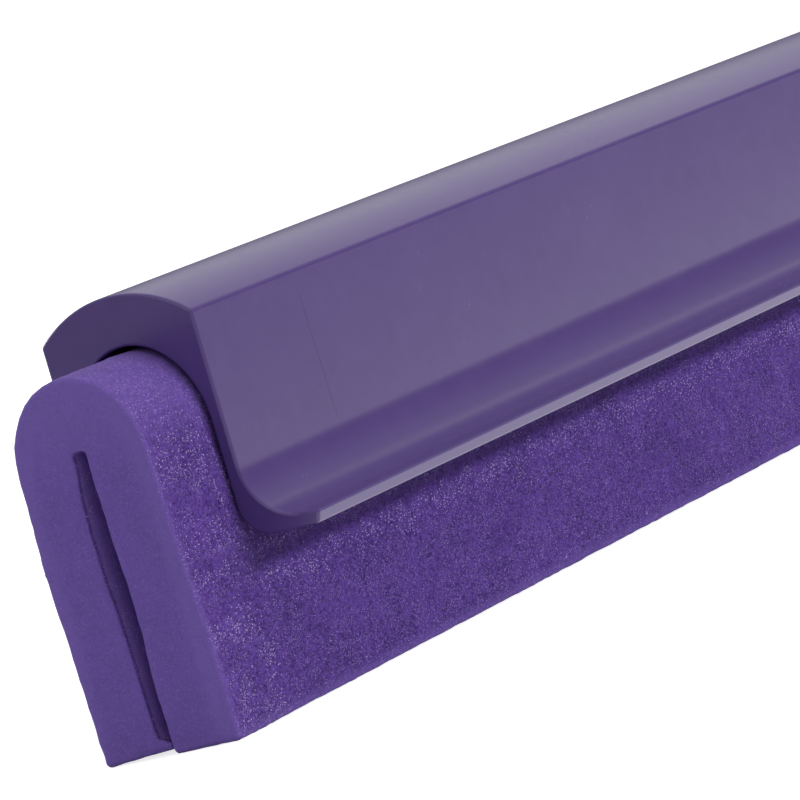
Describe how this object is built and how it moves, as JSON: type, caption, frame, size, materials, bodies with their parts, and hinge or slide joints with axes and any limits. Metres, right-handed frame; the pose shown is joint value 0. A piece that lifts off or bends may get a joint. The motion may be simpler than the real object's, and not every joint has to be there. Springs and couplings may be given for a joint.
{
  "type": "squeegee refill cassette",
  "caption": "Double-blade squeegee cassette: a folded cellular rubber strip held in a bell-shaped plastic rail with flared lips.",
  "frame": {"origin": "on the surface that the lips stand on, midway along the cassette and midway between the two lips", "axes": "+X along the cassette, +Y from the front lip to the rear lip, +Z from the lips' working edges up to the rail's crown"},
  "size_m": [0.25, 0.034, 0.045],
  "materials": {
    "rail_plastic": "satin moulded polypropylene, muted purple",
    "core_plastic": "plain natural polypropylene",
    "cellular_rubber": "matt closed-cell foam rubber, saturated purple, fine pores"
  },
  "bodies": {
    "cassette": {"holder_rail": "rail_plastic", "core_strip": "core_plastic", "blade_fold": "cellular_rubber"},
    "lips": {"front_lip": "cellular_rubber", "rear_lip": "cellular_rubber"}
  },
  "joints": [
    {"name": "blade_flex", "type": "hinge", "parent": "cassette", "child": "lips", "pos_m": [0, 0, 0.017], "axis": [1, 0, 0], "range_deg": [-25, 25], "stiffness_Nm_per_rad": 0.6}
  ]
}
